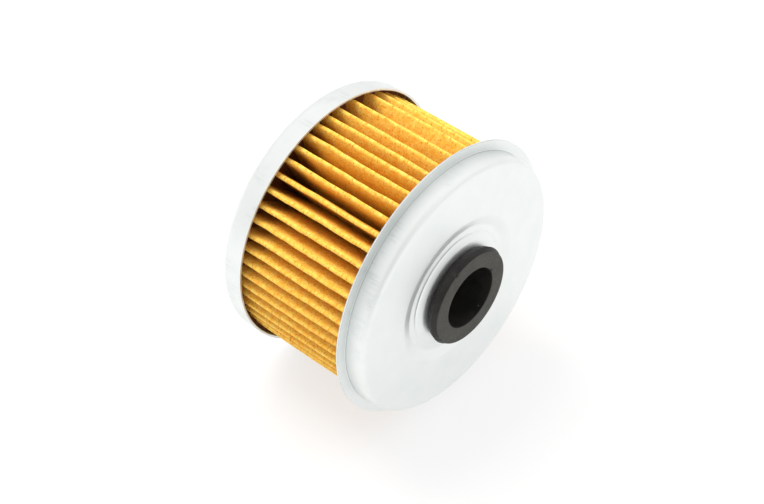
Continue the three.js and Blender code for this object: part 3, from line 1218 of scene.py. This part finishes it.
@dataclass
class LooseFibres:
    """The fibres that stand off the paper, along its crests."""

    count: int = 620
    below_crest: float = 0.6
    clear_rows: tuple[int, int] = (4, 2)  # of the paper's grid, at its rear and its front
    lean_out: float = 0.8
    lean_aside: float = 0.9
    curl_spread: float = 0.5
    curl: float = 0.35
    length: tuple[float, float] = (0.25, 0.95)
    half_width: tuple[float, float] = (0.012, 0.026)
    taper: float = 0.6
    sides: int = 3
    steps: int = 4

    def build(self, pack: PaperPack, middle: np.ndarray, fuzz: bpy.types.Material) -> None:
        """Makes the fibres.

        Args:
            pack: The paper.
            middle: Its middle surface.
            fuzz: The fibres' material.
        """
        draw = np.random.default_rng(pack.seed + 1)
        radius = np.linalg.norm(middle[:, :, 1:], axis=2).mean(axis=1) / MM
        rows = np.flatnonzero(radius > pack.crest - self.below_crest)
        rear, front = self.clear_rows
        points, faces = [], []
        for _ in range(self.count):
            i, j = draw.choice(rows), draw.integers(rear, pack.rows - front)
            root = middle[i, j]
            out = np.array([0, *root[1:]]) / np.linalg.norm(root[1:])
            side = np.cross(AXIS, out)
            tilt = draw.normal(0, 1, 3)
            way = out * abs(tilt[0]) * self.lean_out + side * tilt[1] * self.lean_aside + AXIS * tilt[2]
            way /= np.linalg.norm(way)
            curl = draw.normal(0, self.curl_spread, 3)
            length, thick = draw.uniform(*self.length) * MM, draw.uniform(*self.half_width) * MM
            start = root + out * 0.5 * pack.thickness * MM
            begin = len(points)
            for step in range(self.steps + 1):
                share = step / self.steps
                centre = start + (way * share + curl * self.curl * share**2) * length
                for turn in range(self.sides):
                    angle = TURN * turn / self.sides
                    around = side * math.cos(angle) + np.cross(way, side) * math.sin(angle)
                    points.append(centre + around * thick * (1 - self.taper * share))
            for a, b, c, d in grid_faces(self.steps + 1, self.sides, False, True):
                faces.append((begin + a, begin + d, begin + c, begin + b))
            faces.append(tuple(begin + turn for turn in reversed(range(self.sides))))
            tip = begin + self.steps * self.sides
            faces.append(tuple(tip + turn for turn in range(self.sides)))
        piece = mesh_object("paper_fibres", np.array(points), faces, sharp=60)
        install(piece, fuzz, Slot.PAPER, Body.FILTER)


@dataclass
class SeamClip:
    """The folded strip that grips the sheet's two ends, with its row of crimps."""

    foot: float = 19.4
    straight_foot: float = 19.9
    above_seam: float = 0.55
    half: float = 0.75
    flared_half: float = 0.95
    top_bend: float = 0.45
    foot_bend: float = 0.4
    rear_gap: float = 1.8
    front_gap: float = 1.2
    columns: int = 150
    longest: float = 0.4
    crimp_pitch: float = 4.2
    crimp_radius: float = 21.4
    crimp_reach: float = 0.9
    crimp_power: int = 3
    pinch: float = 0.14
    half_thickness: float = 0.17

    def build(self, pack: PaperPack, plate: bpy.types.Material) -> None:
        """Makes the clip.

        Args:
            pack: The paper whose seam it grips.
            plate: Its material.
        """
        crest = math.radians(pack.crests[pack.seam_pleat()])
        up = np.array([0, -math.sin(crest), math.cos(crest)])
        side = np.array([0, -math.cos(crest), -math.sin(crest)])
        top = pack.seam_top + self.above_seam
        one_side = [(self.foot, self.flared_half), (self.straight_foot, self.half), (top, self.half)]
        corners = [(r, -aside) for r, aside in one_side] + one_side[::-1]
        bends = [0, self.foot_bend, self.top_bend, self.top_bend, self.foot_bend, 0]
        line = evened(rounded(np.array(corners), bends, SHEET_BEND_STEPS, False), self.longest)
        stations = np.linspace(pack.rear + self.rear_gap, pack.front - self.front_gap, self.columns)
        middle = np.empty((len(line), len(stations), 3))
        for column, station in enumerate(stations):
            crimp = 0.5 + 0.5 * math.cos(TURN * station / self.crimp_pitch)
            pinch = self.pinch * crimp**self.crimp_power
            for row, (radius, aside) in enumerate(line):
                hold = math.exp(-(((radius - self.crimp_radius) / self.crimp_reach) ** 2))
                aside -= math.copysign(pinch * hold, aside)
                middle[row, column] = (up * radius + side * aside) * MM
                middle[row, column, 0] = FLANGE_X + station * MM
        along, across = np.gradient(middle, axis=1), np.gradient(middle, axis=0)
        normal = np.cross(along, across)
        normal *= self.half_thickness * MM / np.linalg.norm(normal, axis=2)[:, :, None]
        loop = np.concatenate([middle + normal, (middle - normal)[:, ::-1]], axis=1)
        columns = loop.shape[1]
        faces = grid_faces(len(loop), columns, False, True)
        last = (len(loop) - 1) * columns
        for j in range(columns // 2 - 1):
            faces.append((j, j + 1, columns - 2 - j, columns - 1 - j))
            faces.append((last + columns - 1 - j, last + columns - 2 - j, last + j + 1, last + j))
        piece = mesh_object("seam_clip_strip", loop.reshape(-1, 3), faces, sharp=50)
        install(piece, plate, Slot.PLATED, Body.FILTER, "paper_seam_clip")


# ---- Adhesive ----


@dataclass
class AdhesiveBed:
    """The adhesive that fills a cap and climbs a little up the pleats set in it."""

    name: str
    node: str
    back: tuple[Corner, ...]
    surface: float
    outer: float
    inner: float = 12.1
    climb: float = 0.55
    wall_reach: float = 0.45
    rim_reach: float = 0.4
    segments: int = 1296
    rings: int = 22

    def build(self, pack: PaperPack, adhesive: bpy.types.Material) -> None:
        """Makes the bed.

        Args:
            pack: The paper pack that stands in it.
            adhesive: Its material.
        """
        radii = np.linspace(self.inner, self.outer, self.rings)
        angles = np.arange(self.segments) * 360 / self.segments
        share = np.clip((radii - pack.root) / (pack.crest - pack.root), 0, 1)
        nearest = np.full((self.segments, self.rings), 360.0)
        for pleat, crest in enumerate(pack.crests):
            before = pack.valley_after(pleat - 1) - (0 if pleat else 360)
            for valley in (pack.valley_after(pleat), before):
                wall = valley + (crest - valley) * share
                away = np.abs((angles[:, None] - wall[None, :] + 180) % 360 - 180)
                nearest = np.minimum(nearest, away)
        gap = np.radians(nearest) * radii[None, :]
        rim = np.exp(-(self.outer - radii) / self.rim_reach)[None, :]
        rise = self.climb * np.maximum(np.exp(-gap / self.wall_reach), rim)
        back = np.interp(radii, [c.radius for c in self.back], [c.station for c in self.back])
        towards = math.copysign(1, self.surface - self.back[-1].station)
        top = polar(self.surface + towards * rise, radii[None, :], np.radians(angles)[:, None])
        flat = polar(back[None, ::-1], radii[None, ::-1], np.radians(angles)[:, None])
        loop = np.concatenate([top, flat], axis=1)
        faces = grid_faces(self.segments, loop.shape[1], True, True)
        if towards > 0:
            faces = [face[::-1] for face in faces]
        piece = mesh_object(self.name, loop.reshape(-1, 3), faces, sharp=60)
        install(piece, adhesive, Slot.ADHESIVE, Body.FILTER, self.node)


# ---- Centre tube ----


@dataclass
class CentreTube:
    """The perforated tube that holds the pack's inner folds."""

    outer: float = 11.5
    wall: float = 0.5
    front: float = 3.1
    rear: float = -27.1
    longest: float = 1.5
    hole: float = 1.5
    hole_steps: int = 28
    rows: int = 5
    columns: int = 10
    row_pitch: float = 5.2
    punch_start: float = 2.0  # inside the tube's outer face
    punch_travel: float = 4.0
    segments: int = 160

    def build(self, plate: bpy.types.Material) -> None:
        """Makes the tube and punches its holes.

        Args:
            plate: The plated steel.
        """
        corners = [Corner(self.rear, self.outer), Corner(self.front, self.outer)]
        section = sheet_section(corners, self.wall, -1, self.longest)
        piece = turned("perforated_tube", section, self.segments, sharp=35)
        around = np.linspace(0, TURN, self.hole_steps, endpoint=False)[:, None]
        outlines, travel = [], []
        for row in range(self.rows):
            middle = (self.front + self.rear) / 2
            station = middle + (row - (self.rows - 1) / 2) * self.row_pitch
            for column in range(self.columns):
                angle = TURN / self.columns * (column + row % 2 / 2)
                out = np.array([0, -math.sin(angle), math.cos(angle)])
                ring = np.cos(around) * AXIS + np.sin(around) * np.cross(AXIS, out)
                centre = polar(station, self.outer - self.punch_start, angle)
                outlines.append(centre + self.hole * MM * ring)
                travel.append(out * self.punch_travel * MM)
        cut(piece, outlines, travel)
        install(piece, plate, Slot.PLATED, Body.FILTER, "centre_tube")


# ---- Bypass valve ----


@dataclass
class BypassValve:
    """The relief valve behind the closed cap: stem, facing, plate, spring and retainer."""

    lift: float = 3.0
    stem: tuple[Corner, ...] = (
        Corner(-28.35, 0),  # the rivet's dome, outside the cap
        Corner(-28.32, 1.76, 1.5),
        Corner(-27.9, 3.2, 0.35),
        Corner(-27.61, 3.2, 0.1),
        Corner(-27.61, 1.6),
        Corner(-10.9, 1.6, 0.5),
        Corner(-10.9, 0),
    )
    facing: tuple[Corner, ...] = (
        Corner(-27.18, 4.2, 0.1),
        Corner(-27.18, 8.6, 0.15),
        Corner(-26.37, 8.6, 0.1),
        Corner(-26.37, 4.2, 0.1),
    )
    plate: tuple[Corner, ...] = (
        Corner(-25.35, 1.72),  # the guide collar
        Corner(-26.35, 1.72, 0.3),
        Corner(-26.35, 8.8, 0.5),
        Corner(-24.85, 8.8),  # the turned-up rim
    )
    plate_sheet: float = 0.45
    washer: tuple[Corner, ...] = (
        Corner(-11.98, 1.63),  # the teeth's ends, on the stem
        Corner(-12.86, 3.2, 1.0),
        Corner(-12.86, 6.4),
    )
    washer_sheet: float = 0.5
    slots: int = 5
    slot_corners: tuple = ((0.2, -0.35), (3.4, -0.35), (3.4, 0.35), (0.2, 0.35))  # out and aside
    slot_start: float = -13.48
    slot_travel: float = 2.8
    sheet_step: float = 0.4
    solid_step: float = 0.8
    segments: int = 128
    spring: tuple[float, float] = (-25.88, -12.88)  # the stations where its two ends bear
    spring_radius: float = 5.0
    wire: float = 0.9
    wire_sides: int = 14
    coils: float = 5.5
    coil_points: int = 230
    end_turn: float = 0.75  # how much of a turn lies flat at each end
    end_rise: float = 0.9  # in wires, from a flat end to the coil over it
    uneven: float = 0.03

    def turn(self, name: str, corners: Sequence[Corner]) -> bpy.types.Object:
        """Turns a solid section given by its corners.

        Args:
            name: The piece's name.
            corners: The section's corners.

        Returns:
            The object.
        """
        closed = corners[0].radius > 0
        section = outline(corners, SOLID_BEND_STEPS, self.solid_step, closed)
        return turned(name, section, self.segments)

    def build_stem(self, steel: bpy.types.Material) -> None:
        """Makes the riveted stem, with its dome head outside the cap."""
        install(self.turn("riveted_stem", self.stem), steel, Slot.BARE, Body.FILTER, "valve_stem")

    def build_facing(self, rubber: bpy.types.Material) -> None:
        """Makes the rubber facing that closes the ports."""
        install(self.turn("valve_facing", self.facing), rubber, Slot.RUBBER, Body.VALVE, "valve_seal")

    def build_plate(self, plate: bpy.types.Material) -> None:
        """Makes the sliding plate: a pressed disc with a turned-up rim and a guide collar.

        Args:
            plate: The plated steel.
        """
        section = sheet_section(self.plate, self.plate_sheet, -1, self.sheet_step)
        disc = turned("valve_disc", section, self.segments, sharp=50)
        install(disc, plate, Slot.PLATED, Body.VALVE, "valve_plate")

    def build_spring(self, steel: bpy.types.Material) -> None:
        """Makes the coil spring, whose end turns lie flat.

        Args:
            steel: The spring steel.
        """
        rear, front = self.spring
        turns = np.linspace(0, self.coils, self.coil_points)
        reach = self.coils - 2 * self.end_turn
        climb = np.clip((turns - self.end_turn) / reach, 0, 1)
        climb = climb + self.uneven * np.sin(TURN * climb)
        first_end = np.clip(turns / self.end_turn, 0, 1)
        last_end = np.clip((turns - reach - self.end_turn) / self.end_turn, 0, 1)
        flat = self.wire * (first_end + last_end) * self.end_rise
        free = front - rear - self.wire * (1 + 2 * self.end_rise)
        station = rear + self.wire / 2 + flat + free * climb
        angle = TURN * turns
        centre = polar(station, np.full_like(angle, self.spring_radius), angle)
        forward = np.gradient(centre, axis=0)
        forward /= np.linalg.norm(forward, axis=1)[:, None]
        out = centre * np.array([0, 1, 1])
        out /= np.linalg.norm(out, axis=1)[:, None]
        side = np.cross(forward, out)
        around = np.arange(self.wire_sides)[None, :, None] * TURN / self.wire_sides
        ring = np.cos(around) * out[:, None] + np.sin(around) * side[:, None]
        points = centre[:, None] + self.wire / 2 * MM * ring
        faces = grid_faces(len(turns), self.wire_sides, False, True)
        faces.append(tuple(range(self.wire_sides))[::-1])
        last = (len(turns) - 1) * self.wire_sides
        faces.append(tuple(range(last, last + self.wire_sides)))
        piece = mesh_object("coil_spring", points.reshape(-1, 3), faces, sharp=50)
        install(piece, steel, Slot.BARE, Body.FILTER, "valve_spring")
        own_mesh(piece)

    def build_retainer(self, steel: bpy.types.Material) -> None:
        """Makes the push-on washer, with the slots between the teeth that grip the stem.

        Args:
            steel: The spring steel.
        """
        section = sheet_section(self.washer, self.washer_sheet, -1, self.sheet_step)
        washer = turned("spring_retainer_washer", section, self.segments, sharp=40)
        outlines = []
        for slot in range(self.slots):
            angle = TURN * slot / self.slots
            out = np.array([0, -math.sin(angle), math.cos(angle)])
            side = np.cross(AXIS, out)
            start = polar(self.slot_start, 0.0, 0.0)
            outlines.append(np.array([start + (out * r + side * s) * MM for r, s in self.slot_corners]))
        cut(washer, outlines, [AXIS * self.slot_travel * MM] * self.slots)
        install(washer, steel, Slot.BARE, Body.FILTER, "spring_retainer")


# ---- Studio ----


@dataclass(frozen=True)
class OpalFloor(Finish):
    """A sheet of opal acrylic, lit from below.

    It gives the eye an even white that takes only soft, pale shadows.
    """

    name: str = "pale_floor"
    tones: tuple[str, str] = ("8C8C8C", "8E8E8E")
    mottle_size: float = 25.0
    glow: float = 0.69

    def material(self) -> bpy.types.Material:
        """Builds the shader's nodes.

        Returns:
            The material.
        """
        material, tree = self.start()
        place = add(tree, "TexCoord").outputs["Object"]
        mottle_scale = per_metre(self.mottle_size)[0]
        mottle = add(tree, "TexNoise", {"Vector": place, "Scale": mottle_scale, "Detail": 2.0})
        first, second = self.tones
        tones = {SHARE: mottle.outputs[0], FIRST: linear(first), SECOND: linear(second)}
        tint = add(tree, "Mix", tones, data_type="RGBA")
        matt = {"Base Color": tint.outputs[MIXED], "Roughness": 0.6, "Specular IOR Level": 0.2}
        self.close(tree, matt | {"Emission Color": linear("FFFFFF"), "Emission Strength": self.glow})
        return material


@dataclass
class Studio:
    """The floor, the lights and the camera."""

    azimuth: float = 41.75
    elevation: float = 43.43
    distance: float = 318.7
    aim: tuple[float, float, float] = (1.18, -4.47, 3.25)
    focal_length: float = 84.8  # on a 36 mm wide sensor
    nearest: float = 10.0
    floor_lean: float = 2.9  # degrees, so that the flange and the closed cap's rim both touch it
    floor_half: float = 3000.0
    tent: str = "FEFDFC"
    tent_height: Ramp = Ramp(0.0, 0.6, 0.85, 1.14)  # brighter overhead
    tent_opening: Ramp = Ramp(0.6, 0.95, 1.0, 0.75)  # dimmer towards the side that is left open
    lamp_place: tuple[float, float, float] = (-300.0, 0.0, 550.0)
    lamp_side: float = 400.0
    lamp_watts: float = 3.4
    lamp_tint: str = "FFFCF6"

    def build_floor(self) -> None:
        """Makes the pale floor."""
        touch = Vector((FLANGE_X, 0, -FLANGE_RADIUS * MM))
        lean = Matrix.Rotation(math.radians(self.floor_lean), 4, "Y")
        half = self.floor_half * MM
        square = ((-half, -half), (half, -half), (half, half), (-half, half))
        corners = [lean @ Vector((x, y, 0)) + touch for x, y in square]
        floor = mesh_object("floor", np.array(corners), [(0, 1, 2, 3)], sharp=30)
        floor.data.materials.append(OpalFloor().material())

    def build_lights(self) -> None:
        """Makes the soft tent of light and its key lamp."""
        world = bpy.data.worlds.new("light_tent")
        bpy.context.scene.world = world
        world.use_nodes = True
        tree = world.node_tree
        tree.nodes.clear()
        way = add(tree, "TexCoord").outputs["Generated"]
        upward = add(tree, "SeparateXYZ", {0: way}).outputs["Z"]
        height = add(tree, "MapRange", self.tent_height.of(upward))
        opening = {0: way, 1: tuple(self.towards_camera())}
        front = add(tree, "VectorMath", opening, operation="DOT_PRODUCT")
        dim = add(tree, "MapRange", self.tent_opening.of(front.outputs["Value"]))
        strength = add(tree, "Math", {0: height.outputs[0], 1: dim.outputs[0]}, operation="MULTIPLY")
        glow = add(tree, "Background", {"Color": linear(self.tent), "Strength": strength.outputs[0]})
        add(tree, "OutputWorld", {0: glow.outputs[0]})
        self.build_lamp()

    def build_lamp(self) -> None:
        """Makes the square key lamp, which looks at the filter."""
        data = bpy.data.lights.new("key", "AREA")
        data.size = self.lamp_side * MM
        data.energy = self.lamp_watts
        data.color = linear(self.lamp_tint)[:3]
        lamp = bpy.data.objects.new("key", data)
        lamp.location = Vector(self.lamp_place) * MM
        lamp.visible_glossy = False  # a flagged lamp, so that the plating mirrors the tent alone
        lamp.rotation_euler = (-lamp.location).to_track_quat("-Z", "Y").to_euler()
        bpy.context.scene.collection.objects.link(lamp)

    def towards_camera(self) -> Vector:
        """The direction from the filter to the camera.

        Returns:
            A direction one long.
        """
        azimuth, elevation = math.radians(self.azimuth), math.radians(self.elevation)
        level = math.cos(elevation)
        return Vector((math.sin(azimuth) * level, -math.cos(azimuth) * level, math.sin(elevation)))

    def build_camera(self) -> None:
        """Makes the camera and sets how the picture is toned."""
        back = self.towards_camera()
        data = bpy.data.cameras.new("camera")
        data.lens = self.focal_length
        data.clip_start = self.nearest * MM
        camera = bpy.data.objects.new("camera", data)
        camera.location = (Vector(self.aim) + back * self.distance) * MM
        camera.rotation_euler = (-back).to_track_quat("-Z", "Y").to_euler()
        bpy.context.scene.collection.objects.link(camera)
        bpy.context.scene.camera = camera
        bpy.context.scene.view_settings.view_transform = "Standard"


# The backs of the two beds, which lie just inside the caps.
OUTLET_BACK = (Corner(3.1, 12.0), Corner(3.1, 13.0), Corner(3.88, 15.1), Corner(3.88, 25.0))
CLOSED_BACK = (Corner(-27.1, 11.6), Corner(-28.5, 14.6), Corner(-28.5, 26.0))


def main() -> None:
    """Builds the filter, piece by piece, and its studio."""
    logging.basicConfig(level=logging.INFO, format="%(name)s: %(message)s")
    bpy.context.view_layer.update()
    studio = Studio()
    studio.build_camera()
    studio.build_lights()
    studio.build_floor()

    plate, steel = ZincPlate().material(), BareSteel().material()
    rubber, adhesive = NitrileRubber().material(), PlastisolAdhesive().material()
    OutletCap().build(plate)
    ClosedCap().build(plate)
    Grommet().build(rubber)

    pack = PaperPack()
    middle = pack.build(FilterPaper().material())
    LooseFibres().build(pack, middle, FibreFuzz().material())
    SeamClip().build(pack, plate)
    outlet_bed = AdhesiveBed("outlet_bed", "outlet_adhesive", OUTLET_BACK, surface=2.1, outer=24.5)
    outlet_bed.build(pack, adhesive)
    closed_bed = AdhesiveBed("closed_bed", "closed_adhesive", CLOSED_BACK, surface=-26.4, outer=25.1)
    closed_bed.build(pack, adhesive)
    CentreTube().build(plate)

    valve = BypassValve()
    valve.build_stem(steel)
    valve.build_facing(rubber)
    valve.build_plate(plate)
    valve.build_spring(steel)
    valve.build_retainer(steel)


if __name__ == "__main__":
    main()
